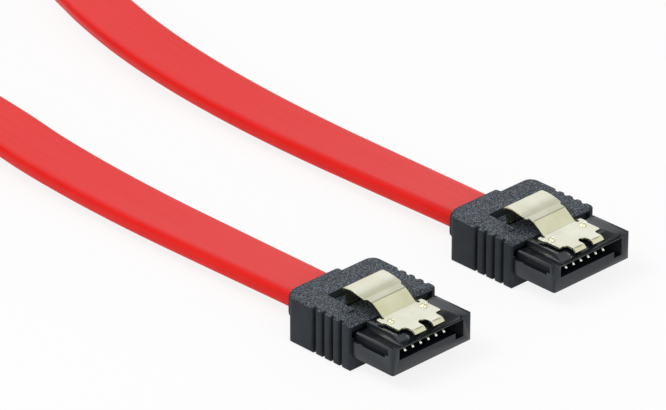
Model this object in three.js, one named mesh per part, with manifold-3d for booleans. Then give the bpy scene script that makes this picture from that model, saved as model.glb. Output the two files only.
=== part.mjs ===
// A serial-ATA data cable: a flat red ribbon jacket between two straight latching plugs.
// Millimetres, +Z up. The plugs lie side by side, latches up, and their overmoulds rest on z = 0.
// The origin is midway between the two plugs at the surface that they lie on.
// Each plug is drawn in its own frame: x across, y from the mating face back to the cable, z up.

import * as THREE from 'three';
import { mergeVertices } from 'three/addons/utils/BufferGeometryUtils.js';
import Module from 'manifold-3d';

const wasm = await Module();
wasm.setup();

// Placing of the two plugs
const plugSpacing = 27.8;         // from centre to centre, along x
const plugStagger = 0.9;          // how far the second plug lies behind the first

// Front housing, which plugs into the drive
const noseWidth = 12.9;
const noseCentre = 0.05;          // a little to the right of the plug's middle
const noseBottom = 2.05;
const noseTop = 5.75;
const noseLength = 6.85;
const noseEdgeRound = 0.3;
const slotLeft = -5.35;
const slotRight = 5.15;
const slotFloor = 3.8;
const slotRoof = 5.1;
const slotDepth = 5.5;
const mouthRoof = 5.2;            // the roof opens upward over the lead-in at the mouth
const leadIn = 0.7;
const keyWidth = 1.3;             // the leg that gives the slot its L shape
const keyFloor = 2.95;
const rampHalfWidth = 4.87;
const rampLength = 2.2;
const rampDrop = 0.4;
const scoopHalfWidth = 4.07;      // the flat top ends here, where the side scoop begins
const scoopFlare = 0.96;          // how far its edge swings out at the mating face
const scoopStraightEnd = 3.6;
const scoopDepth = 0.36;
const railWidth = 0.3;
const railDrop = 0.17;            // at the mating face
const railFall = 0.08;            // and how much further it falls towards the rear
const railEnd = 6.0;
const gapFloor = 4.9;             // the floor of the gap between the scoops and the overmould
const sideRecessDepth = 0.7;
const sideRecessFloor = 4.05;
const sideRecessRoof = 5.33;
const sideRecessStart = 0.8;
const cornerStepEnd = 1.3;
const cornerStepHeight = 0.35;
const corePlay = 0.15;            // clearance round what the overmould holds
const coreWidth = 11.2;
const coreLength = 2.55;
const coreBottom = 2.3;
const coreTop = 4.4;

// Contacts
const contactCount = 7;
const contactPitch = 1.27;
const firstContactX = -4.2;
const contactWidth = 0.5;
const contactTipWidth = 0.3;
const contactTaperEnd = 1.9;      // where the narrow tip has widened to the full width
const lastTipSetback = 1.3;       // the tip beside the key sits this much deeper
const contactThickness = 0.18;
const contactPlay = 0.06;
const beamHeight = 5.02;
const tailHeight = 3.9;
const tailReach = 1.5;            // of the contacts' tails behind the housing
const tipHeight = 4.5;
const tipStart = 0.2;
const beamEnd = 5.7;              // where the beam turns down to the tail

// Overmould
const mouldWidth = 14.3;
const mouldCentre = 0.3;          // the right side stands out further than the left
const mouldHeight = 6.1;
const mouldFront = 6.9;
const mouldRear = 17.4;
const mouldEdge = 0.15;
const mouldFrontRound = 0.2;
const mouldBottomRound = 0.6;     // the long edges underneath, which run out above the floor
const mouldRearRound = 1.2;
const grooveCount = 4;
const grooveFirst = 8.4;
const groovePitch = 1.45;
const grooveWidth = 0.5;
const grooveDepthLeft = 0.6;
const grooveDepthRight = 0.35;
const ribRound = 0.32;
const windowFrontHalf = 3.8;
const windowMidHalf = 3.4;
const windowRearHalf = 3.2;
const windowMid = 10.0;
const windowRear = 14.15;
const windowFloor = 5.05;
const armBevelHalf = 4.9;
const armBevelEnd = 9.4;
const armBevelDrop = 0.35;
const armSlope = 0.45;            // the front end of each arm slopes down over this length
const armSlopeDrop = 0.32;
const armUnderside = 5.6;         // below this the front end is hollow
const undercutInner = 3.2;
const undercutOuter = 6.6;
const undercutEnd = 7.6;
const chamberWidth = 9.9;
const chamberRear = 15.5;
const chamberBottom = 1.4;
const chamberTop = 4.2;
const collarWidth = 8.8;
const collarBottom = 1.1;
const collarTop = 5.0;
const collarLength = 2.1;
const collarRound = 1.1;

// Latch, one bent strip of spring sheet
const sheet = 0.25;
const plateTop = 6.33;
const plateHalf = 3.5;
const plateFront = 2.05;
const wingHalf = 3.72;
const wingStep = 4.2;
const wingRear = 5.5;
const slopeHalf = 2.7;
const slopeFoot = 5.47;
const slopeHead = 7.2;
const slopeHeadTop = 7.62;
const humpHalf = 3.08;
const humpFront = 8.24;
const humpFrontTop = 7.82;
const crestY = 11.1;
const crestTop = 8.25;
const humpBulge = 0.08;           // how far the hump stands above a straight line
const riserY = 12.15;
const riserHalf = 2.0;
const heelBend = 0.4;             // where the latch turns back into its slot
const latchTailTop = 4.75;
const latchTailHalf = 2.0;
const latchTailEnd = 14.3;
const latchPlay = 0.15;
const tabInner = 0.62;
const tabOuter = 2.4;
const tabBend = 0.8;
const tabTip = 0.43;
const tabTipHeight = 5.82;
const dimpleX = 2.7;
const dimpleY = 4.08;
const dimpleRadius = 0.45;
const dimpleRise = 0.32;

// Wires inside each plug
const wireBlockPlay = 0.15;       // round the block in its chamber
const wireBlockLead = 0.3;        // from the contacts' tails to the block
const coreRadius = 0.42;
const conductorRadius = 0.16;
const groundRadius = 0.2;
const wirePlay = 0.08;
const wireHeight = 3.6;
const wireLead = 0.4;             // from the housing to the bare ends of the wires
const stripLength = 1.8;
const wireGap = 0.3;              // from the wires to the cable's own end
const wireSpread = 6.2;           // across the outer wires where they enter the cable
// Along the plug's pins: a ground at each end and in the middle, with a pair between them.
// Each share is how far out of the half spread the wire enters the cable.
const wirePlan = [
  { kind: 'ground', share: -1 },
  { kind: 'signal', share: -0.71 },
  { kind: 'signal', share: -0.29 },
  { kind: 'ground', share: 0 },
  { kind: 'signal', share: 0.29 },
  { kind: 'signal', share: 0.71 },
  { kind: 'ground', share: 1 },
];

// Cable
const cableWidth = 7.1;
const cableThickness = 2.3;
const cableRound = 1.0;
const cableHeight = 2.98;
const cablePlay = 0.15;
const cableStart = 15.9;
const cableSteps = 78;
// The ribbon's route: x, y and z of its middle, and how far it has turned from lying flat
// towards standing on its edge, in degrees. The first stretch is the same behind both plugs
// and is in the plug's own frame.
const legRoute = [
  [0.0, cableStart, cableHeight, 0],
  [0.0, 22.0, 2.95, 0.8],
  [-0.04, 30.0, 2.88, 2.4],
  [-0.11, 37.5, 2.84, 3.9],
  [-0.21, 45.0, 2.85, 5.4],
  [-0.29, 52.5, 2.99, 7.1],
  [-0.33, 60.0, 3.3, 8.8],
  [-0.26, 67.5, 3.78, 10.6],
  [0.09, 75.0, 4.38, 12.5],
];
// The loop that joins the two legs stands on its edge, and is in the part's own frame.
const loopRoute = [
  [-13.9, 73.3, 4.95, 15.5],
  [-15.4, 81.8, 5.3, 20],
  [-18.2, 89.8, 5.35, 28],
  [-22.2, 97.3, 5.05, 41],
  [-25.9, 106.0, 4.3, 63],
  [-26.3, 115.5, 3.8, 82],
  [-23.3, 124.4, 3.64, 90],
  [-17.4, 131.8, 3.62, 90],
  [-9.3, 136.6, 3.62, 90],
  [0.0, 138.3, 3.62, 90],
  [9.6, 136.7, 3.62, 90],
  [18.0, 131.7, 3.62, 90],
  [24.1, 124.1, 3.64, 90],
  [27.2, 114.8, 3.84, 83],
  [26.8, 105.0, 4.5, 63],
  [23.0, 96.0, 5.45, 38],
  [20.7, 92.1, 5.68, 29],
  [18.8, 88.0, 5.76, 22],
  [17.24, 83.7, 5.75, 17.3],
  [16.36, 80.7, 5.58, 16.4],
  [14.82, 73.2, 5.02, 14.4],
];

// Lengths that follow from those above
const housingRear = noseLength + coreLength;
const tailEnd = housingRear + tailReach;
const wireFront = housingRear + wireLead;
const stripEnd = wireFront + stripLength;
const wireEnd = cableStart - wireGap;
const wireBlockFront = tailEnd + wireBlockLead;
const wireBlockRear = chamberRear - wireBlockPlay;
const wireBlockHalf = chamberWidth / 2 - wireBlockPlay;
const wireBlockTop = chamberTop - wireBlockPlay;

const black = { color: 0x14161a, roughness: 0.55, metalness: 0.0 };
const gloss = { color: 0x0e0f12, roughness: 0.25, metalness: 0.0 };
const gold = { color: 0xd9cfa0, roughness: 0.3, metalness: 1.0 };
const plated = { color: 0xcfc9bd, roughness: 0.25, metalness: 1.0 };
const natural = { color: 0xe6e2d6, roughness: 0.6, metalness: 0.0 };
const blueCore = { color: 0x9fb6d8, roughness: 0.5, metalness: 0.0 };
const tinned = { color: 0xc7c9cc, roughness: 0.35, metalness: 1.0 };
const red = { color: 0xd8201c, roughness: 0.45, metalness: 0.0 };

// Solids and meshes

function toSolid(geometry) {
  let bare = geometry.clone();
  bare.deleteAttribute('normal');
  bare.deleteAttribute('uv');
  bare = mergeVertices(bare, 1e-5);
  const vertProperties = new Float32Array(bare.attributes.position.array);
  const triVerts = new Uint32Array(bare.index.array);
  return new wasm.Manifold(new wasm.Mesh({ numProp: 3, vertProperties, triVerts }));
}

function toGeometry(solid) {
  const mesh = solid.getMesh();
  const geometry = new THREE.BufferGeometry();
  geometry.setAttribute('position', new THREE.BufferAttribute(mesh.vertProperties, 3));
  geometry.setIndex(new THREE.BufferAttribute(mesh.triVerts, 1));
  geometry.computeVertexNormals();
  return geometry;
}

function box(x0, x1, y0, y1, z0, z1) {
  const geometry = new THREE.BoxGeometry(x1 - x0, y1 - y0, z1 - z0);
  geometry.translate((x0 + x1) / 2, (y0 + y1) / 2, (z0 + z1) / 2);
  return toSolid(geometry);
}

// An outline in plan, drawn as [x, y] points or a Shape, pulled up from z0 to z1.
function fromPlan(outline, z0, z1) {
  const shape = outline instanceof THREE.Shape ? outline : pointShape(outline);
  const geometry = new THREE.ExtrudeGeometry(shape, {
    depth: z1 - z0,
    bevelEnabled: false,
    curveSegments: 2,
  });
  geometry.translate(0, 0, z0);
  return toSolid(geometry);
}

// A side outline, drawn as [y, z] points, pulled across from x0 to x1.
function fromSide(points, x0, x1) {
  const geometry = new THREE.ExtrudeGeometry(pointShape(points), { depth: x1 - x0, bevelEnabled: false });
  geometry.applyMatrix4(new THREE.Matrix4().set(0, 0, 1, x0, 1, 0, 0, 0, 0, 1, 0, 0, 0, 0, 0, 1));
  return toSolid(geometry);
}

// A front outline, drawn as [x, z] points or a Shape, pulled back from y0 to y1.
function fromFront(outline, y0, y1) {
  const shape = outline instanceof THREE.Shape ? outline : pointShape(outline);
  const geometry = new THREE.ExtrudeGeometry(shape, {
    depth: y1 - y0,
    bevelEnabled: false,
    curveSegments: 2,
  });
  geometry.applyMatrix4(new THREE.Matrix4().set(1, 0, 0, 0, 0, 0, -1, y1, 0, 1, 0, 0, 0, 0, 0, 1));
  return toSolid(geometry);
}

function pointShape(points) {
  return new THREE.Shape(points.map(([a, b]) => new THREE.Vector2(a, b)));
}

function roundedRectangle(x0, x1, y0, y1, round) {
  const shape = new THREE.Shape();
  shape.moveTo(x0 + round, y0);
  shape.lineTo(x1 - round, y0);
  shape.absarc(x1 - round, y0 + round, round, -Math.PI / 2, 0, false);
  shape.lineTo(x1, y1 - round);
  shape.absarc(x1 - round, y1 - round, round, 0, Math.PI / 2, false);
  shape.lineTo(x0 + round, y1);
  shape.absarc(x0 + round, y1 - round, round, Math.PI / 2, Math.PI, false);
  shape.lineTo(x0, y0 + round);
  shape.absarc(x0 + round, y0 + round, round, Math.PI, Math.PI * 1.5, false);
  return shape;
}

// The right half of an outline and its mirror image, as one closed shape.
function wholeOutline(half) {
  const right = half.getPoints(2);
  const left = right.filter((point) => point.x > 1e-6).map((point) => new THREE.Vector2(-point.x, point.y));
  return new THREE.Shape([...right, ...left.reverse()]);
}

// The same solid on both sides of the plug's middle plane.
function bothSides(solid) {
  return solid.add(solid.mirror([1, 0, 0]));
}

// A band of a given thickness along a line of [y, z] points, as a closed side outline.
function band(line, thickness) {
  const upper = [];
  const lower = [];
  line.forEach(([y, z], i) => {
    const before = line[Math.max(i - 1, 0)];
    const after = line[Math.min(i + 1, line.length - 1)];
    const along = new THREE.Vector2(after[0] - before[0], after[1] - before[1]).normalize();
    const half = thickness / 2;
    upper.push([y - along.y * half, z + along.x * half]);
    lower.push([y + along.y * half, z - along.x * half]);
  });
  return [...lower, ...upper.reverse()];
}

// The arc that rounds the corner between two straight stretches, as points.
function bend(from, corner, to, radius, steps) {
  const tip = new THREE.Vector2(...corner);
  const a = new THREE.Vector2(...from).sub(tip).normalize();
  const b = new THREE.Vector2(...to).sub(tip).normalize();
  const half = a.angleTo(b) / 2;
  const centre = a.clone().add(b).normalize().multiplyScalar(radius / Math.sin(half)).add(tip);
  const reach = radius / Math.tan(half);
  const start = a.multiplyScalar(reach).add(tip).sub(centre);
  const end = b.multiplyScalar(reach).add(tip).sub(centre);
  const sweep = Math.atan2(start.cross(end), start.dot(end));
  const points = [];
  for (let i = 0; i <= steps; i += 1) {
    const spoke = start.clone().rotateAround(new THREE.Vector2(0, 0), (sweep * i) / steps);
    points.push([centre.x + spoke.x, centre.y + spoke.y]);
  }
  return points;
}

// Front housing

function contactLine(setback) {
  const start = tipStart + setback;
  return [
    [start, tipHeight],
    [start + 0.3, tipHeight + 0.28],
    [start + 0.7, beamHeight - 0.07],
    [start + 1.4, beamHeight],
    [beamEnd, beamHeight],
    [beamEnd + 0.8, tailHeight],
    [tailEnd, tailHeight],
  ];
}

function contactX(index) {
  return firstContactX + contactPitch * index;
}

function tipSetback(index) {
  return index === contactCount - 1 ? lastTipSetback : 0;
}

// The left scoop. Its outer edge falls towards the rear, as the rail beside it does.
function scoopCut() {
  const outer = noseWidth / 2 - railWidth;
  const floor = [];
  const arcSteps = 6;
  for (let i = 0; i <= arcSteps; i += 1) {
    const t = i / arcSteps;
    const x = -scoopHalfWidth - (outer - scoopHalfWidth) * t;
    floor.push([x, noseTop - scoopDepth * Math.cos((t * Math.PI) / 2) - railDrop * t]);
  }
  const section = [[-scoopHalfWidth + scoopFlare, noseTop - scoopDepth], ...floor,
    [-outer, noseTop + 1], [-scoopHalfWidth + scoopFlare, noseTop + 1]];
  const plan = [[-noseWidth, noseLength + 1], [-noseWidth, -1], [-scoopHalfWidth - scoopFlare, -1],
    [-scoopHalfWidth - scoopFlare, 0]];
  const flareSteps = 6;
  for (let i = 1; i <= flareSteps; i += 1) {
    const t = i / flareSteps;
    plan.push([-scoopHalfWidth - scoopFlare * (1 - t) ** 2, scoopStraightEnd * t]);
  }
  plan.push([-scoopHalfWidth, noseLength + 1]);
  const trough = fromFront(section.reverse(), -1, noseLength + 1).warp((point) => {
    const share = THREE.MathUtils.clamp((-scoopHalfWidth - point[0]) / (outer - scoopHalfWidth), 0, 1);
    point[2] -= (railFall * share * point[1]) / noseLength;
  });
  return trough.intersect(fromPlan(plan.reverse(), noseTop - 2, noseTop + 2));
}

function sideCuts() {
  const half = noseWidth / 2;
  const inner = half - sideRecessDepth;
  const recess = box(-half - 1, -inner, sideRecessStart, noseLength + 1, sideRecessFloor,
    sideRecessRoof);
  const step = box(-half - 2, -inner + 0.1, sideRecessStart - 0.2, cornerStepEnd,
    sideRecessFloor - 0.1, sideRecessFloor + cornerStepHeight);
  const behind = noseLength + 1;
  const railGap = box(-half - 1, -inner, railEnd, behind, sideRecessFloor, noseTop + 1);
  const slopeEnd = noseTop - railDrop - (railFall * behind) / noseLength;
  const intoScoop = railWidth / 6;
  const railTop = fromSide([[-1, noseTop + 1], [-1, noseTop - railDrop + railFall / noseLength],
    [behind, slopeEnd], [behind, noseTop + 1]], -half - 1, -half + railWidth + intoScoop);
  const rearGap = box(-half - 1, -scoopHalfWidth, railEnd, behind, gapFloor, noseTop + 1);
  return recess.subtract(step).add(railGap).add(railTop).add(rearGap);
}

function slotCut() {
  const slot = box(slotLeft, slotRight, -1, slotDepth, slotFloor, slotRoof);
  const key = box(slotRight - keyWidth, slotRight, -1, slotDepth, keyFloor, slotRoof);
  const mouth = fromSide([[-1, slotFloor], [leadIn, slotFloor], [leadIn, slotRoof], [0, mouthRoof],
    [-1, mouthRoof]], slotLeft, slotRight);
  return slot.add(key).add(mouth);
}

function housing() {
  const half = noseWidth / 2;
  const nose = fromPlan(roundedRectangle(-half, half, 0, noseLength, noseEdgeRound), noseBottom, noseTop);
  const core = box(-coreWidth / 2, coreWidth / 2, noseLength - 0.6, housingRear, coreBottom, coreTop);
  const ramp = fromSide([[-1, noseTop + 1], [-1, noseTop - rampDrop], [0, noseTop - rampDrop],
    [rampLength, noseTop], [rampLength, noseTop + 1]], -rampHalfWidth, rampHalfWidth);
  const shell = nose.subtract(ramp).subtract(bothSides(scoopCut())).subtract(bothSides(sideCuts()));
  let solid = shell.translate([noseCentre, 0, 0]).add(core).subtract(slotCut());
  for (let i = 0; i < contactCount; i += 1) {
    const x = contactX(i);
    const reach = contactWidth / 2 + contactPlay;
    for (const setback of new Set([0, tipSetback(i)])) {
      const channel = band(contactLine(setback), contactThickness + contactPlay * 2);
      solid = solid.subtract(fromSide(channel, x - reach, x + reach));
    }
  }
  return toGeometry(solid);
}

function contact(index) {
  const setback = tipSetback(index);
  const x = contactX(index);
  const wide = contactWidth / 2;
  const narrow = contactTipWidth / 2;
  const taper = contactTaperEnd + setback;
  const plan = fromPlan([[x - narrow, -1], [x + narrow, -1], [x + narrow, taper - 0.4], [x + wide, taper],
    [x + wide, tailEnd + 1], [x - wide, tailEnd + 1], [x - wide, taper], [x - narrow, taper - 0.4]],
    tailHeight - 1, beamHeight + 1);
  const strip = fromSide(band(contactLine(setback), contactThickness), x - contactWidth, x + contactWidth);
  return toGeometry(strip.intersect(plan));
}

// Overmould

// One side of the overmould in plan, drawn smaller by the edge that the bevel then adds.
function mouldSide(inset, grooveDepth) {
  const half = mouldWidth / 2 - inset;
  const front = mouldFront + inset;
  const rear = mouldRear - inset;
  const frontRound = mouldFrontRound - inset;
  const rearRound = mouldRearRound - inset;
  const tip = Math.max(ribRound - inset, 0.05);
  const groove = grooveWidth / 2 + inset;
  const shape = new THREE.Shape();
  shape.moveTo(0, front);
  shape.lineTo(half - frontRound, front);
  shape.absarc(half - frontRound, front + frontRound, frontRound, -Math.PI / 2, 0, false);
  for (let i = 0; i < grooveCount; i += 1) {
    const y = grooveFirst + groovePitch * i;
    shape.lineTo(half, y - groove - tip);
    shape.absarc(half - tip, y - groove - tip, tip, 0, Math.PI / 2, false);
    shape.lineTo(half - grooveDepth, y - groove);
    shape.lineTo(half - grooveDepth, y + groove);
    shape.lineTo(half - tip, y + groove);
    shape.absarc(half - tip, y + groove + tip, tip, -Math.PI / 2, 0, false);
  }
  shape.lineTo(half, rear - rearRound);
  shape.absarc(half - rearRound, rear - rearRound, rearRound, 0, Math.PI / 2, false);
  shape.lineTo(0, rear);
  return shape.getPoints(2);
}

function mouldBody() {
  const right = mouldSide(mouldEdge, grooveDepthRight);
  const left = mouldSide(mouldEdge, grooveDepthLeft).filter((point) => point.x > 1e-6)
    .map((point) => new THREE.Vector2(-point.x, point.y));
  const geometry = new THREE.ExtrudeGeometry(new THREE.Shape([...right, ...left.reverse()]), {
    depth: mouldHeight - mouldEdge * 2,
    bevelEnabled: true,
    bevelThickness: mouldEdge,
    bevelSize: mouldEdge,
    bevelSegments: 2,
  });
  geometry.translate(mouldCentre, 0, mouldEdge);
  return toSolid(geometry).subtract(mouldBottomCut(1)).subtract(mouldBottomCut(-1));
}

/** What the rounding of one long bottom edge takes from the overmould. */
function mouldBottomCut(side) {
  const centre = mouldWidth / 2 - mouldBottomRound;
  const arc = [Math.PI / 6, Math.PI / 3].map((angle) => [
    centre + mouldBottomRound * Math.sin(angle),
    mouldBottomRound * (1 - Math.cos(angle)),
  ]);
  const outline = [[centre, -1], [centre, -0.01], ...arc,
    [mouldWidth / 2 + 0.01, mouldBottomRound], [mouldWidth / 2 + 1, mouldBottomRound],
    [mouldWidth / 2 + 1, -1]];
  return fromFront(outline.map(([x, z]) => [mouldCentre + side * x, z]), mouldFront - 1, mouldRear + 1);
}

function ribbonSection(grow) {
  const half = cableWidth / 2 + grow;
  const low = cableHeight - cableThickness / 2 - grow;
  const high = cableHeight + cableThickness / 2 + grow;
  return roundedRectangle(-half, half, low, high, cableRound + grow);
}

function windowCut() {
  const right = [[windowFrontHalf, mouldFront - 1], [windowFrontHalf, mouldFront + 0.5],
    [windowMidHalf, windowMid], [windowRearHalf, windowRear]];
  const left = right.map(([x, y]) => [-x, y]).reverse();
  const opening = fromPlan([...right, ...left], windowFloor, mouldHeight + 1);
  const slotHalf = latchTailHalf + latchPlay;
  const slotFront = riserY - sheet / 2 - latchPlay;
  const slotBottom = latchTailTop - sheet - latchPlay;
  const riserSlot = box(-slotHalf, slotHalf, slotFront, riserY + heelBend, slotBottom, windowFloor + 0.5);
  const tailSlot = box(-slotHalf, slotHalf, slotFront, latchTailEnd + latchPlay, slotBottom,
    latchTailTop + latchPlay);
  const bevelLow = mouldHeight - armBevelDrop;
  const bevel = fromFront([[0, mouldHeight + 1], [0, bevelLow], [windowMidHalf, bevelLow],
    [armBevelHalf, mouldHeight], [armBevelHalf, mouldHeight + 1]], mouldFront - 1, armBevelEnd);
  const undercut = bothSides(box(undercutInner, undercutOuter, mouldFront - 1, undercutEnd,
    sideRecessFloor, armUnderside)).translate([mouldCentre, 0, 0]);
  const slopeLow = mouldHeight - armSlopeDrop;
  const slope = fromSide([[mouldFront - 1, mouldHeight + 1], [mouldFront - 1, slopeLow],
    [mouldFront, slopeLow], [mouldFront + armSlope, mouldHeight], [mouldFront + armSlope, mouldHeight + 1]],
    -mouldWidth, mouldWidth);
  return opening.add(tailSlot).add(riserSlot).add(bothSides(bevel)).add(undercut).add(slope);
}

function overmould() {
  const collar = fromFront(roundedRectangle(-collarWidth / 2, collarWidth / 2, collarBottom, collarTop,
    collarRound), mouldRear - 1, mouldRear + collarLength);
  const seat = box(-coreWidth / 2 - corePlay, coreWidth / 2 + corePlay, mouldFront - 1,
    housingRear + corePlay, coreBottom - corePlay, coreTop + corePlay);
  const chamber = box(-chamberWidth / 2, chamberWidth / 2, housingRear, chamberRear,
    chamberBottom, chamberTop);
  const cableHole = fromFront(ribbonSection(cablePlay), chamberRear - 1, mouldRear + collarLength + 1);
  const solid = mouldBody().add(collar);
  return toGeometry(solid.subtract(windowCut()).subtract(seat).subtract(chamber).subtract(cableHole));
}

// Latch

function latchLine() {
  const half = sheet / 2;
  const foot = [slopeFoot, plateTop - half];
  const head = [slopeHead, slopeHeadTop - half];
  const humpStart = [humpFront, humpFrontTop - half];
  const shoulder = [riserY - 0.2, crestTop - 0.75];
  const heel = [riserY, latchTailTop - half];
  const tailEndPoint = [latchTailEnd, latchTailTop - half];
  const hump = [0.25, 0.5, 0.75].map((t) => [
    humpFront + (crestY - humpFront) * t,
    humpFrontTop + (crestTop - humpFrontTop) * t - half + humpBulge * 4 * t * (1 - t),
  ]);
  return [
    [tabTip, tabTipHeight],
    ...bend([tabTip, tabTipHeight], [tabBend, plateTop - half], foot, 0.45, 3),
    ...bend([tabBend, plateTop - half], foot, head, 0.25, 2),
    ...bend(foot, head, humpStart, 0.35, 2),
    humpStart,
    ...hump,
    [crestY + 0.12, crestTop - half - 0.06],
    [crestY + 0.5, crestTop - half - 0.26],
    shoulder,
    ...bend(shoulder, heel, tailEndPoint, heelBend, 3),
    tailEndPoint,
  ];
}

function latchPlan() {
  const shape = new THREE.Shape();
  const notch = 0.22;
  const outerNotch = 0.42;
  shape.moveTo(0, plateFront);
  shape.absarc(0, plateFront - tabInner, tabInner, Math.PI / 2, 0, true);
  shape.lineTo(tabInner, tabTip - 1);
  shape.lineTo(tabOuter, tabTip - 1);
  shape.lineTo(tabOuter, plateFront - outerNotch);
  shape.absarc(tabOuter + outerNotch, plateFront - outerNotch, outerNotch, Math.PI, Math.PI / 2, true);
  shape.lineTo(plateHalf - notch, plateFront);
  shape.absarc(plateHalf - notch, plateFront + notch, notch, -Math.PI / 2, 0, false);
  shape.lineTo(plateHalf, wingStep);
  shape.lineTo(wingHalf, wingStep + 0.35);
  shape.lineTo(wingHalf, wingRear - notch);
  shape.absarc(wingHalf - notch, wingRear - notch, notch, 0, Math.PI / 2, false);
  shape.lineTo(slopeHalf + notch * 2, wingRear);
  shape.lineTo(slopeHalf + notch * 2, slopeFoot - notch);
  shape.absarc(slopeHalf + notch, slopeFoot - notch, notch, 0, Math.PI, true);
  shape.lineTo(slopeHalf, humpFront - 0.35);
  shape.lineTo(humpHalf, humpFront);
  shape.lineTo(humpHalf, riserY - 0.4);
  shape.lineTo(riserHalf, riserY - 0.1);
  shape.lineTo(latchTailHalf, latchTailEnd + 1);
  shape.lineTo(0, latchTailEnd + 1);
  return shape;
}

function dimple(side) {
  const profile = [];
  const steps = 4;
  profile.push(new THREE.Vector2(0, -sheet / 2));
  profile.push(new THREE.Vector2(dimpleRadius, -sheet / 2));
  for (let i = 0; i <= steps; i += 1) {
    const angle = (i / steps) * (Math.PI / 2);
    profile.push(new THREE.Vector2(dimpleRadius * Math.cos(angle), dimpleRise * Math.sin(angle)));
  }
  const geometry = new THREE.LatheGeometry(profile, 14);
  geometry.rotateX(Math.PI / 2);
  geometry.translate(side * dimpleX, dimpleY, plateTop);
  return toSolid(geometry);
}

function latch() {
  const strip = fromSide(band(latchLine(), sheet), -wingHalf - 1, wingHalf + 1);
  const plan = fromPlan(wholeOutline(latchPlan()), latchTailTop - 1, crestTop + 1);
  return toGeometry(strip.intersect(plan).add(dimple(-1)).add(dimple(1)));
}

// Wires inside the plug

class Path extends THREE.Curve {
  constructor(points) {
    super();
    this.spline = new THREE.CatmullRomCurve3(points, false, 'centripetal');
  }

  getPoint(t, target) {
    return this.spline.getPoint(t, target);
  }
}

function tube(points, radius, sides, steps) {
  const section = new THREE.Shape();
  section.absarc(0, 0, radius, 0, Math.PI * 2, false);
  const path = new Path(points.map(([x, y, z]) => new THREE.Vector3(x, y, z)));
  const geometry = new THREE.ExtrudeGeometry(section, { steps, extrudePath: path, curveSegments: sides });
  return toSolid(geometry);
}

function wirePath(index, start, end) {
  const frontX = contactX(index);
  const rearX = (wirePlan[index].share * wireSpread) / 2;
  const points = [];
  const steps = 5;
  for (let i = 0; i <= steps; i += 1) {
    const y = start + ((end - start) * i) / steps;
    const t = THREE.MathUtils.smoothstep(y, stripEnd, wireEnd - 0.4);
    points.push([frontX + (rearX - frontX) * t, y, wireHeight + (cableHeight - wireHeight) * t]);
  }
  return points;
}

function wireRadius(index) {
  return wirePlan[index].kind === 'ground' ? groundRadius : coreRadius;
}

// A ground wire is bare all along. A signal wire has its insulation stripped at the front.
function wireSolid(index) {
  if (wirePlan[index].kind === 'ground') {
    return tube(wirePath(index, wireFront, wireEnd), groundRadius, 3, 6);
  }
  const insulated = tube(wirePath(index, stripEnd, wireEnd), coreRadius, 4, 5);
  return insulated.add(tube(wirePath(index, wireFront, stripEnd + 0.3), conductorRadius, 3, 1));
}

// The block that the wires lie in, with an open channel for each.
function wireBlock() {
  let solid = box(-wireBlockHalf, wireBlockHalf, wireBlockFront, wireBlockRear,
    chamberBottom + wireBlockPlay, wireBlockTop);
  wirePlan.forEach((wire, index) => {
    const reach = wireRadius(index) + wirePlay;
    const line = wirePath(index, wireBlockFront - 0.5, wireBlockRear + 0.5);
    const left = line.map(([x, y]) => [x - reach, y]);
    const right = line.map(([x, y]) => [x + reach, y]);
    const bottom = Math.min(cableHeight, wireHeight) - reach;
    solid = solid.subtract(fromPlan([...right, ...left.reverse()], bottom, wireBlockTop + 1));
  });
  return toGeometry(solid);
}

// Cable

// A path whose cross-section turns with it: across the ribbon is the first axis of the section.
class RibbonPath extends THREE.Curve {
  constructor(stations) {
    super();
    const points = stations.map(([x, y, z]) => new THREE.Vector3(x, y, z));
    this.spline = new THREE.CatmullRomCurve3(points, false, 'centripetal');
    this.turns = stations.map((station) => THREE.MathUtils.degToRad(station[3]));
  }

  getPoint(t, target) {
    return this.spline.getPoint(t, target);
  }

  turnAt(t) {
    const place = t * (this.turns.length - 1);
    const index = Math.min(Math.floor(place), this.turns.length - 2);
    const share = place - index;
    return this.turns[index] * (1 - share) + this.turns[index + 1] * share;
  }

  computeFrenetFrames(steps) {
    const tangents = [];
    const normals = [];
    const binormals = [];
    for (let i = 0; i <= steps; i += 1) {
      const u = i / steps;
      const tangent = this.getTangentAt(u).normalize();
      const turn = this.turnAt(this.getUtoTmapping(u));
      const across = new THREE.Vector3(Math.cos(turn), 0, Math.sin(turn));
      across.addScaledVector(tangent, -across.dot(tangent)).normalize();
      tangents.push(tangent);
      normals.push(across);
      binormals.push(new THREE.Vector3().crossVectors(tangent, across));
    }
    return { tangents, normals, binormals };
  }
}

function plugPlace(side) {
  const middle = (mouldRear + collarLength) / 2;
  return new THREE.Vector3((side * plugSpacing) / 2, (side * plugStagger) / 2 - middle, 0);
}

function cableStations() {
  const leg = (side) => legRoute.map(([x, y, z, turn]) => {
    const place = plugPlace(side);
    return [x + place.x, y + place.y, z, turn];
  });
  return [...leg(-1), ...loopRoute, ...leg(1).reverse()];
}

function cableJacket() {
  const half = cableWidth / 2;
  const thick = cableThickness / 2;
  const section = roundedRectangle(-half, half, -thick, thick, cableRound);
  const geometry = new THREE.ExtrudeGeometry(section, {
    steps: cableSteps,
    extrudePath: new RibbonPath(cableStations()),
    curveSegments: 2,
  });
  return toGeometry(toSolid(geometry));
}

// Assembly

function piece(name, geometry, look) {
  const mesh = new THREE.Mesh(geometry, new THREE.MeshStandardMaterial(look));
  mesh.name = name;
  return mesh;
}

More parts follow.
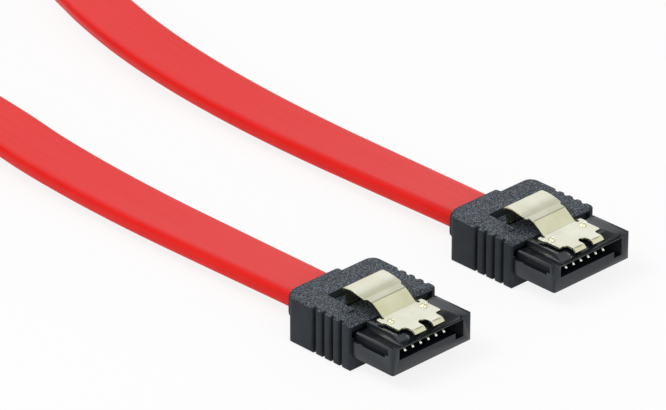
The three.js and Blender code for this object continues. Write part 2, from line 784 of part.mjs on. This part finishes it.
function plug(prefix, side) {
  const group = new THREE.Group();
  group.add(piece(`${prefix}_overmould`, overmould(), black));
  group.add(piece(`${prefix}_housing`, housing(), gloss));
  group.add(piece(`${prefix}_latch`, latch(), gold));
  group.add(piece(`${prefix}_wire_block`, wireBlock(), natural));
  for (let i = 0; i < contactCount; i += 1) {
    group.add(piece(`${prefix}_contact_${i + 1}`, contact(i), plated));
  }
  wirePlan.forEach((wire, index) => {
    const look = wire.kind === 'ground' ? tinned : blueCore;
    const geometry = toGeometry(wireSolid(index));
    group.add(piece(`${prefix}_${wire.kind}_wire_${index + 1}`, geometry, look));
  });
  group.position.copy(plugPlace(side));
  return group;
}

const cable = new THREE.Group();
cable.add(plug('plug_a', -1));
cable.add(plug('plug_b', 1));
cable.add(piece('cable_jacket', cableJacket(), red));

export default cable;
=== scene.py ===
# A red flat serial-ATA data cable between two straight black latching plugs, on a pale studio floor.
# Everything is in metres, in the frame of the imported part.

import math

import bmesh
import bpy
from mathutils import Matrix, Vector


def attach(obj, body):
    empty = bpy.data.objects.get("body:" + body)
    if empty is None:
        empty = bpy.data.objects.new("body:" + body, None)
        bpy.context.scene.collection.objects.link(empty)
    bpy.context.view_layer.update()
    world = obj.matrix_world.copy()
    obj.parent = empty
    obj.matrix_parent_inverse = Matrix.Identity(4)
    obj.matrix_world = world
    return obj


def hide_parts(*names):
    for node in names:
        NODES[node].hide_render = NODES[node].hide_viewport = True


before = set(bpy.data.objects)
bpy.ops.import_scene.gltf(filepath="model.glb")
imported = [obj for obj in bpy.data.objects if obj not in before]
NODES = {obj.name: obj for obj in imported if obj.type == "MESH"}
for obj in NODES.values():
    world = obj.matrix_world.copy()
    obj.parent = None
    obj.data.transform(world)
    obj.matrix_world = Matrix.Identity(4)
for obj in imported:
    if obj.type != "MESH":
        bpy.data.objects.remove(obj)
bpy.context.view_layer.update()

MM = 0.001
# Where each plug's mating face is, in millimetres, and the body that its latch is on.
PLUG_MIDDLE = {"plug_a": Vector((-13.9, -10.2, 0.0)), "plug_b": Vector((13.9, -9.3, 0.0))}
LATCH_BODY = {"plug_a": "latch_a", "plug_b": "latch_b"}


# Camera: the photograph's viewing angle, a long lens from the front left

IMAGE_WIDTH = 666
FOCAL_PIXELS = 6000
SENSOR = 36.0
CLIP_START = 0.05
CLIP_END = 20.0
CAMERA_PLACE = Vector((-446.1, -437.9, 343.3)) * MM
CAMERA_RIGHT = Vector((0.7167, -0.6974, 0.0))
CAMERA_UP = Vector((0.3257, 0.3348, 0.8842))
CAMERA_BACK = Vector((-0.6166, -0.6337, 0.4671))


def add_camera():
    data = bpy.data.cameras.new("camera")
    data.sensor_fit = "HORIZONTAL"
    data.sensor_width = SENSOR
    data.lens = FOCAL_PIXELS * SENSOR / IMAGE_WIDTH
    data.clip_start = CLIP_START
    data.clip_end = CLIP_END
    camera = bpy.data.objects.new("camera", data)
    axes = Matrix((CAMERA_RIGHT, CAMERA_UP, CAMERA_BACK)).transposed()
    camera.matrix_world = Matrix.Translation(CAMERA_PLACE) @ axes.to_4x4()
    bpy.context.scene.collection.objects.link(camera)
    bpy.context.scene.camera = camera


add_camera()


# Material kit

class Look:
    """A node material round one Principled shader."""

    def __init__(self, name, roughness=0.5, metallic=0.0, **fixed):
        self.material = bpy.data.materials.new(name)
        self.material.use_nodes = True
        self.tree = self.material.node_tree
        self.shader = next(n for n in self.tree.nodes if n.type == "BSDF_PRINCIPLED")
        self.set("Roughness", roughness)
        self.set("Metallic", metallic)
        for key, value in fixed.items():
            self.set(key.replace("_", " "), value)
        self.coords = self.tree.nodes.new("ShaderNodeTexCoord")

    def set(self, socket, value):
        self.shader.inputs[socket].default_value = value

    def add(self, kind, inputs=None, **settings):
        node = self.tree.nodes.new(kind)
        for key, value in settings.items():
            setattr(node, key, value)
        for key, value in (inputs or {}).items():
            self.feed(node.inputs[key], value)
        return node

    def feed(self, socket, value):
        if isinstance(value, bpy.types.NodeSocket):
            self.tree.links.new(value, socket)
        else:
            socket.default_value = value

    def link(self, output, socket):
        self.tree.links.new(output, self.shader.inputs[socket])

    def place(self, stretch, source="Object"):
        node = self.add("ShaderNodeMapping", {"Vector": self.coords.outputs[source], "Scale": stretch})
        return node.outputs["Vector"]

    def noise(self, scale, detail=2.0, roughness=0.5, stretch=(1, 1, 1), source="Object"):
        node = self.add("ShaderNodeTexNoise", {
            "Vector": self.place(stretch, source), "Scale": scale, "Detail": detail, "Roughness": roughness})
        return node.outputs["Fac"]

    def cells(self, scale, stretch=(1, 1, 1)):
        node = self.add("ShaderNodeTexVoronoi", {"Vector": self.place(stretch), "Scale": scale})
        return node.outputs["Distance"]

    def spread(self, value, low, high, out_low=0.0, out_high=1.0):
        node = self.add("ShaderNodeMapRange", {
            "Value": value, "From Min": low, "From Max": high, "To Min": out_low, "To Max": out_high})
        node.clamp = True
        return node.outputs["Result"]

    def math(self, operation, a, b=0.0):
        node = self.add("ShaderNodeMath", operation=operation)
        self.feed(node.inputs[0], a)
        self.feed(node.inputs[1], b)
        return node.outputs[0]

    def mix(self, factor, low, high):
        node = self.add("ShaderNodeMix", data_type="RGBA")
        self.feed(node.inputs["Factor"], factor)
        self.feed(node.inputs[6], low)
        self.feed(node.inputs[7], high)
        return node.outputs[2]

    def bump(self, height, depth, strength=1.0, under=None):
        node = self.add("ShaderNodeBump", {"Height": height, "Distance": depth, "Strength": strength})
        if under is not None:
            self.feed(node.inputs["Normal"], under)
        return node.outputs["Normal"]

    def normal(self, axis):
        geometry = self.add("ShaderNodeNewGeometry")
        split = self.add("ShaderNodeSeparateXYZ", {"Vector": geometry.outputs["Normal"]})
        return split.outputs[axis]

    def facing_up(self, low=0.55, high=0.85):
        """1 on faces that look up or down, 0 on the sides."""
        return self.spread(self.math("ABSOLUTE", self.normal("Z")), low, high)


def rgba(red, green, blue):
    return (red, green, blue, 1.0)


# Cable jacket

# The section's sizes are in millimetres, and the length is in metres.
CABLE_WIDTH = 7.1
CABLE_THICKNESS = 2.3
CABLE_ROUND = 0.85
ROUND_STEPS = 6
TOP_STEPS = 10
RINGS = 460
STEPS_BETWEEN_STATIONS = 24
# x, y and z of the ribbon's middle in millimetres, and its turn from lying flat, in degrees.
LEG_ROUTE = (
    (0.0, 15.9, 2.98, 0.0), (0.0, 22.0, 2.95, 0.8), (-0.04, 30.0, 2.88, 2.4),
    (-0.11, 37.5, 2.84, 3.9), (-0.21, 45.0, 2.85, 5.4), (-0.29, 52.5, 2.99, 7.1),
    (-0.33, 60.0, 3.3, 8.8), (-0.26, 67.5, 3.78, 10.6), (0.09, 75.0, 4.38, 12.5),
)
LOOP_ROUTE = (
    (-13.9, 73.3, 4.95, 15.5), (-15.4, 81.8, 5.3, 20.0), (-18.2, 89.8, 5.35, 28.0),
    (-22.2, 97.3, 5.05, 41.0), (-25.9, 106.0, 4.3, 63.0), (-26.3, 115.5, 3.8, 82.0),
    (-23.3, 124.4, 3.64, 90.0), (-17.4, 131.8, 3.62, 90.0), (-9.3, 136.6, 3.62, 90.0),
    (0.0, 138.3, 3.62, 90.0), (9.6, 136.7, 3.62, 90.0), (18.0, 131.7, 3.62, 90.0),
    (24.1, 124.1, 3.64, 90.0), (27.2, 114.8, 3.84, 83.0), (26.8, 105.0, 4.5, 63.0),
    (23.0, 96.0, 5.45, 38.0), (20.7, 92.1, 5.68, 29.0), (18.8, 88.0, 5.76, 22.0),
    (17.24, 83.7, 5.75, 17.3), (16.36, 80.7, 5.58, 16.4), (14.82, 73.2, 5.02, 14.4),
)


def cable_stations():
    def leg(plug):
        place = PLUG_MIDDLE[plug]
        return [Vector((x + place.x, y + place.y, z, turn)) for x, y, z, turn in LEG_ROUTE]

    return leg("plug_a") + [Vector(point) for point in LOOP_ROUTE] + leg("plug_b")[::-1]


def spline(stations, count):
    """Points along the centripetal Catmull-Rom curve through the stations, evenly spaced."""
    first = stations[0] * 2 - stations[1]
    last = stations[-1] * 2 - stations[-2]
    knots = [first] + stations + [last]
    fine = []
    for i in range(1, len(knots) - 2):
        p0, p1, p2, p3 = knots[i - 1:i + 3]
        t0 = 0.0
        t1 = t0 + math.sqrt((p1 - p0).xyz.length)
        t2 = t1 + math.sqrt((p2 - p1).xyz.length)
        t3 = t2 + math.sqrt((p3 - p2).xyz.length)
        for k in range(STEPS_BETWEEN_STATIONS):
            t = t1 + (t2 - t1) * k / STEPS_BETWEEN_STATIONS
            a1 = p0 * ((t1 - t) / (t1 - t0)) + p1 * ((t - t0) / (t1 - t0))
            a2 = p1 * ((t2 - t) / (t2 - t1)) + p2 * ((t - t1) / (t2 - t1))
            a3 = p2 * ((t3 - t) / (t3 - t2)) + p3 * ((t - t2) / (t3 - t2))
            b1 = a1 * ((t2 - t) / (t2 - t0)) + a2 * ((t - t0) / (t2 - t0))
            b2 = a2 * ((t3 - t) / (t3 - t1)) + a3 * ((t - t1) / (t3 - t1))
            fine.append(b1 * ((t2 - t) / (t2 - t1)) + b2 * ((t - t1) / (t2 - t1)))
    fine.append(stations[-1].copy())
    runs = [0.0]
    for a, b in zip(fine, fine[1:]):
        runs.append(runs[-1] + (b - a).xyz.length)
    points = []
    at = 0
    for i in range(count + 1):
        want = runs[-1] * i / count
        while at < len(runs) - 2 and runs[at + 1] < want:
            at += 1
        share = (want - runs[at]) / (runs[at + 1] - runs[at])
        points.append(fine[at].lerp(fine[at + 1], share))
    return points, runs[-1]


def ribbon_section():
    """The jacket's outline as (across, through), with its two flat faces in narrow strips."""
    half = CABLE_WIDTH / 2 - CABLE_ROUND
    thick = CABLE_THICKNESS / 2 - CABLE_ROUND
    corners = ((half, thick, 0), (-half, thick, 90), (-half, -thick, 180), (half, -thick, 270))
    outline = []
    for i, (x, z, start) in enumerate(corners):
        for k in range(ROUND_STEPS + 1):
            angle = math.radians(start + 90 * k / ROUND_STEPS)
            outline.append((x + CABLE_ROUND * math.cos(angle), z + CABLE_ROUND * math.sin(angle)))
        if i in (0, 2):
            sign = 1 if i == 0 else -1
            for k in range(1, TOP_STEPS):
                outline.append((sign * half * (1 - 2 * k / TOP_STEPS), sign * CABLE_THICKNESS / 2))
    return outline


def make_ribbon():
    points, length = spline(cable_stations(), RINGS)
    section = ribbon_section()
    around = len(section)
    run_across = [0.0]
    for a, b in zip(section, section[1:] + section[:1]):
        run_across.append(run_across[-1] + math.dist(a, b))
    mesh = bmesh.new()
    uv = mesh.loops.layers.uv.new("along")
    rings = []
    for i, point in enumerate(points):
        before = points[max(i - 1, 0)].xyz
        after = points[min(i + 1, RINGS)].xyz
        tangent = (after - before).normalized()
        turn = math.radians(point.w)
        across = Vector((math.cos(turn), 0, math.sin(turn)))
        across = (across - tangent * across.dot(tangent)).normalized()
        up = across.cross(tangent)
        rings.append([mesh.verts.new((point.xyz + across * a + up * b) * MM) for a, b in section])
    for i in range(RINGS):
        for k in range(around):
            n = (k + 1) % around
            face = mesh.faces.new((rings[i][k], rings[i][n], rings[i + 1][n], rings[i + 1][k]))
            face.smooth = True
            spots = ((k, i), (k + 1, i), (k + 1, i + 1), (k, i + 1))
            for loop, (c, r) in zip(face.loops, spots):
                loop[uv].uv = (run_across[c], length * r / RINGS)
    mesh.faces.new(rings[0])
    mesh.faces.new(rings[-1][::-1])
    bmesh.ops.recalc_face_normals(mesh, faces=mesh.faces)
    data = bpy.data.meshes.new("jacket")
    mesh.to_mesh(data)
    mesh.free()
    piece = bpy.data.objects.new("jacket", data)
    bpy.context.scene.collection.objects.link(piece)
    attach(piece, "root")
    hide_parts("cable_jacket")
    return piece


def flat_faces(look):
    """1 on the jacket's two flat faces, 0 on its rounded edges, from the run round its section."""
    fade = 0.6
    corner = math.pi / 2 * CABLE_ROUND
    flat = CABLE_WIDTH - 2 * CABLE_ROUND
    half_turn = 2 * corner + flat + CABLE_THICKNESS - 2 * CABLE_ROUND
    split = look.add("ShaderNodeSeparateXYZ", {"Vector": look.coords.outputs["UV"]})
    run = look.math("MODULO", split.outputs["X"], half_turn)
    offset = look.math("ABSOLUTE", look.math("SUBTRACT", run, corner + flat / 2))
    return look.spread(offset, flat / 2, flat / 2 + fade, 1.0, 0.0)


def jacket_look():
    look = Look("jacket_red", roughness=0.42, Specular_IOR_Level=0.15)
    streaks = look.noise(1.6, 4.0, 0.6, stretch=(1.0, 0.03, 1.0), source="UV")
    fine = look.noise(9.0, 3.0, 0.6, stretch=(1.0, 0.02, 1.0), source="UV")
    patches = look.noise(160.0, 2.0)
    base = look.mix(look.spread(streaks, 0.3, 0.7), rgba(0.68, 0.006, 0.003), rgba(0.75, 0.008, 0.005))
    worn = look.math("MULTIPLY", look.spread(patches, 0.4, 0.7), 0.35)
    base = look.mix(worn, base, rgba(0.79, 0.016, 0.010))
    # The two flat faces are painted pinker and lighter than the rounded edges: a painted sheen of the glossy
    # red.
    flats = look.math("MULTIPLY", flat_faces(look), look.spread(streaks, 0.2, 0.8, 0.75, 1.0))
    base = look.mix(flats, base, rgba(0.79, 0.060, 0.059))
    look.link(base, "Base Color")
    look.link(look.spread(fine, 0.25, 0.75, 0.33, 0.46), "Roughness")
    wavy = look.bump(streaks, 0.00008, 0.5)
    lines = look.bump(fine, 0.00002, 0.6, wavy)
    skin = look.bump(look.noise(7000.0, 3.0), 0.000006, 0.6, lines)
    look.link(skin, "Normal")
    return look.material


jacket = make_ribbon()
jacket.data.materials.append(jacket_look())


# Looks of the plugs

def overmould_look():
    look = Look("overmould_black", roughness=0.6, Specular_IOR_Level=0.12)
    top = look.facing_up()
    grain = look.noise(5200.0, 4.0, 0.65)
    pits = look.cells(6400.0)
    clouds = look.noise(420.0, 3.0)
    base = look.mix(look.spread(clouds, 0.3, 0.7), rgba(0.024, 0.028, 0.033), rgba(0.032, 0.037, 0.043))
    lift = look.math("MULTIPLY", top, look.spread(grain, 0.46, 0.66))
    base = look.mix(look.math("MULTIPLY", lift, 0.8), base, rgba(0.35, 0.40, 0.465))
    look.link(base, "Base Color")
    look.link(look.spread(grain, 0.3, 0.7, 0.5, 0.72), "Roughness")
    rough_top = look.bump(look.math("MULTIPLY", look.math("ADD", grain, pits), top), 0.0002, 0.9)
    look.link(look.bump(look.noise(2600.0, 2.0), 0.00002, 0.5, rough_top), "Normal")
    return look.material


def housing_look():
    look = Look("housing_black", roughness=0.26, Specular_Tint=rgba(0.90, 0.96, 1.0))
    clouds = look.noise(500.0, 3.0)
    scuffs = look.noise(900.0, 4.0, 0.7, stretch=(1.0, 0.15, 1.0))
    top = look.facing_up()
    base = look.mix(clouds, rgba(0.017, 0.020, 0.024), rgba(0.024, 0.027, 0.032))
    # Faces that look up or down are painted darker: painted shade on the nose's tops, scoops and recess
    # floors.
    look.link(look.mix(top, base, rgba(0.006, 0.008, 0.011)), "Base Color")
    # The sides have an even gloss. Level tops are duller, the right scoops, whose floors lean to the
    # left, shine, and the left scoops, which lean to the right, hardly shine at all.
    side_gloss = 0.31
    level_gloss = 0.26
    right_scoop_gloss = 0.8
    left_scoop_share = 0.1
    right_scoop_lean = 0.14
    off_lean = look.math("ABSOLUTE", look.math("ADD", look.normal("X"), right_scoop_lean))
    shine = look.spread(off_lean, 0.06, 0.13, right_scoop_gloss, level_gloss)
    left_share = look.spread(look.normal("X"), 0.01, 0.06, 1.0, left_scoop_share)
    top_gloss = look.math("MULTIPLY", shine, left_share)
    top_change = look.math("MULTIPLY", top, look.math("SUBTRACT", top_gloss, side_gloss))
    look.link(look.math("ADD", side_gloss, top_change), "Specular IOR Level")
    look.link(look.spread(scuffs, 0.3, 0.75, 0.2, 0.26), "Roughness")
    look.link(look.bump(look.noise(1400.0, 2.0), 0.000002, 0.4), "Normal")
    return look.material


def latch_look():
    look = Look("latch_spring", roughness=0.2, metallic=1.0)
    grain = look.noise(2600.0, 4.0, 0.65, stretch=(0.06, 1.0, 1.0))
    tarnish = look.noise(380.0, 3.0)
    # The steep faces are painted darker and yellower than the level ones: painted shade.
    level = look.mix(look.spread(tarnish, 0.3, 0.75), rgba(0.82, 0.82, 0.70), rgba(0.71, 0.70, 0.54))
    painted_shade_tilted = look.mix(look.spread(tarnish, 0.3, 0.75), rgba(0.71, 0.705, 0.51), rgba(0.61, 0.60, 0.39))
    look.link(look.mix(look.facing_up(0.970, 0.984), painted_shade_tilted, level), "Base Color")
    look.link(look.spread(grain, 0.3, 0.7, 0.16, 0.24), "Roughness")
    look.link(look.bump(grain, 0.0000015, 0.4), "Normal")
    return look.material


def contact_look():
    look = Look("contact_plating", roughness=0.2, metallic=1.0)
    wear = look.noise(3000.0, 3.0)
    base = look.mix(look.spread(wear, 0.35, 0.7), rgba(0.88, 0.87, 0.83), rgba(0.78, 0.74, 0.62))
    look.link(base, "Base Color")
    look.link(look.spread(wear, 0.3, 0.7, 0.14, 0.3), "Roughness")
    look.link(look.bump(look.noise(5200.0, 2.0), 0.000004, 0.5), "Normal")
    return look.material


def plain_plastic_look(name, low, high, roughness):
    look = Look(name, roughness=roughness)
    change = 0.08
    clouds = look.noise(700.0, 3.0)
    look.link(look.mix(look.spread(clouds, 0.3, 0.7), low, high), "Base Color")
    uneven = look.spread(look.noise(1500.0, 3.0), 0.3, 0.7, roughness - change, roughness + change)
    look.link(uneven, "Roughness")
    look.link(look.bump(look.noise(3200.0, 3.0), 0.00001, 0.5), "Normal")
    return look.material


def tinned_look():
    look = Look("wire_tinned", roughness=0.35, metallic=1.0)
    dull = look.noise(2200.0, 4.0, 0.7)
    base = look.mix(look.spread(dull, 0.3, 0.7), rgba(0.72, 0.72, 0.73), rgba(0.52, 0.52, 0.54))
    look.link(base, "Base Color")
    look.link(look.spread(dull, 0.3, 0.7, 0.28, 0.5), "Roughness")
    look.link(look.bump(dull, 0.00001, 0.6), "Normal")
    return look.material


LOOKS = {
    "overmould": overmould_look(),
    "housing": housing_look(),
    "latch": latch_look(),
    "contact": contact_look(),
    "wire_block": plain_plastic_look("block_natural", rgba(0.78, 0.75, 0.66), rgba(0.84, 0.82, 0.75), 0.5),
    "signal_wire": plain_plastic_look("wire_insulation", rgba(0.42, 0.54, 0.74), rgba(0.5, 0.62, 0.8), 0.45),
    "ground_wire": tinned_look(),
}


def look_for(node):
    return next(material for part, material in LOOKS.items() if part in node)


def finish_node(node):
    piece = NODES[node]
    piece.data.materials.clear()
    piece.data.materials.append(look_for(node))


# The width in metres of the softened edges of the pieces that replace their solids.
OVERMOULD_EDGE = 0.1 * MM
HOUSING_EDGE = 0.06 * MM
LATCH_EDGE = 0.05 * MM
SHARP_ANGLE = 32
LATCH_SHARP_ANGLE = 60


def rounded_copy(node, body, width, angle=SHARP_ANGLE):
    """The same solid with softened edges, which takes its CAD node's place."""
    data = NODES[node].data.copy()
    data.materials.clear()
    data.materials.append(look_for(node))
    mesh = bmesh.new()
    mesh.from_mesh(data)
    bmesh.ops.remove_doubles(mesh, verts=mesh.verts, dist=1e-7)
    bmesh.ops.dissolve_limit(mesh, angle_limit=math.radians(1.0), verts=mesh.verts, edges=mesh.edges)
    for face in mesh.faces:
        face.smooth = True
    mesh.to_mesh(data)
    mesh.free()
    piece = bpy.data.objects.new(node + "_moulded", data)
    bpy.context.scene.collection.objects.link(piece)
    bevel = piece.modifiers.new("edges", "BEVEL")
    bevel.width = width
    bevel.segments = 2
    bevel.limit_method = "ANGLE"
    bevel.angle_limit = math.radians(angle)
    bevel.use_clamp_overlap = True
    bevel.harden_normals = True
    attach(piece, body)
    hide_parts(node)
    return piece


for name in NODES:
    if name != "cable_jacket":
        finish_node(name)

for plug, latch_body in LATCH_BODY.items():
    rounded_copy(plug + "_overmould", "root", OVERMOULD_EDGE)
    rounded_copy(plug + "_housing", "root", HOUSING_EDGE)
    strip = rounded_copy(plug + "_latch", latch_body, LATCH_EDGE, LATCH_SHARP_ANGLE)
    strip.modifiers["edges"].harden_normals = False
    strip.modifiers.new("flats", "WEIGHTED_NORMAL").keep_sharp = True


# Studio: white all round, with one dark card high above that the bent sheet of the latches mirrors

CARD_DIRECTION = (0.617, 0.110, 0.779)
CARD_OUTER_ANGLE = 22
CARD_INNER_ANGLE = 4
CARD_STRENGTH = 0.45
SKY_ON_SURFACES = 0.5
SKY_SEEN = 1.0
FLOOR_GLOW = 0.85
FLOOR_REACH = 6.0
FLOOR_GAP = 0.00002


def light_paths(look_tree, rays):
    """1 for the named kinds of ray, 0 for the others."""
    paths = look_tree.nodes.new("ShaderNodeLightPath")
    total = None
    for ray in rays:
        output = paths.outputs[ray]
        if total is None:
            total = output
            continue
        node = look_tree.nodes.new("ShaderNodeMath")
        node.operation = "MAXIMUM"
        look_tree.links.new(total, node.inputs[0])
        look_tree.links.new(output, node.inputs[1])
        total = node.outputs[0]
    return total


def make_world():
    world = bpy.data.worlds.new("studio")
    world.use_nodes = True
    bpy.context.scene.world = world
    tree = world.node_tree
    background = next(n for n in tree.nodes if n.type == "BACKGROUND")
    background.inputs["Color"].default_value = rgba(1.0, 1.0, 1.0)
    seen = light_paths(tree, ("Is Camera Ray", "Is Glossy Ray", "Is Transmission Ray"))
    strength = tree.nodes.new("ShaderNodeMapRange")
    tree.links.new(seen, strength.inputs["Value"])
    strength.inputs["To Min"].default_value = SKY_ON_SURFACES
    strength.inputs["To Max"].default_value = SKY_SEEN
    coords = tree.nodes.new("ShaderNodeTexCoord")
    toward = tree.nodes.new("ShaderNodeVectorMath")
    toward.operation = "DOT_PRODUCT"
    tree.links.new(coords.outputs["Generated"], toward.inputs[0])
    toward.inputs[1].default_value = CARD_DIRECTION
    card = tree.nodes.new("ShaderNodeMapRange")
    card.interpolation_type = "SMOOTHSTEP"
    tree.links.new(toward.outputs["Value"], card.inputs["Value"])
    card.inputs["From Min"].default_value = math.cos(math.radians(CARD_OUTER_ANGLE))
    card.inputs["From Max"].default_value = math.cos(math.radians(CARD_INNER_ANGLE))
    card.inputs["To Min"].default_value = 1.0
    card.inputs["To Max"].default_value = CARD_STRENGTH
    dimmed = tree.nodes.new("ShaderNodeMath")
    dimmed.operation = "MULTIPLY"
    tree.links.new(strength.outputs["Result"], dimmed.inputs[0])
    tree.links.new(card.outputs["Result"], dimmed.inputs[1])
    tree.links.new(dimmed.outputs[0], background.inputs["Strength"])


def make_floor():
    mesh = bpy.data.meshes.new("floor")
    reach = FLOOR_REACH
    corners = [(-reach, -reach, 0), (reach, -reach, 0), (reach, reach, 0), (-reach, reach, 0)]
    mesh.from_pydata(corners, [], [(0, 1, 2, 3)])
    floor = bpy.data.objects.new("floor", mesh)
    floor.location.z = -FLOOR_GAP
    bpy.context.scene.collection.objects.link(floor)
    look = Look("floor_paper", roughness=0.9, Specular_IOR_Level=0.1)
    paper = look.mix(look.noise(30.0, 2.0), rgba(0.93, 0.93, 0.93), rgba(0.95, 0.95, 0.95))
    look.link(paper, "Base Color")
    glow = look.add("ShaderNodeEmission", {"Color": rgba(1.0, 1.0, 1.0), "Strength": 1.0})
    seen = light_paths(look.tree, ("Is Camera Ray", "Is Glossy Ray"))
    share = look.math("MULTIPLY", seen, FLOOR_GLOW)
    blend = look.add("ShaderNodeMixShader", {0: share})
    look.tree.links.new(look.shader.outputs[0], blend.inputs[1])
    look.tree.links.new(glow.outputs[0], blend.inputs[2])
    output = next(n for n in look.tree.nodes if n.type == "OUTPUT_MATERIAL")
    look.tree.links.new(blend.outputs[0], output.inputs["Surface"])
    mesh.materials.append(look.material)


def make_lamp(name, place, size, power):
    """A square lamp that looks at the origin."""
    data = bpy.data.lights.new(name, "AREA")
    data.shape = "SQUARE"
    data.size = size
    data.energy = power
    lamp = bpy.data.objects.new(name, data)
    lamp.location = place
    lamp.rotation_euler = (-Vector(place)).to_track_quat("-Z", "Y").to_euler()
    bpy.context.scene.collection.objects.link(lamp)


make_world()
make_floor()
make_lamp("key", (-0.5, 0.25, 0.8), size=0.5, power=4.5)
make_lamp("fill", (-0.25, -0.8, 0.4), size=0.6, power=2.0)
make_lamp("rim", (0.86, 0.5, 0.17), size=0.2, power=1.0)

bpy.context.scene.view_settings.view_transform = "Standard"
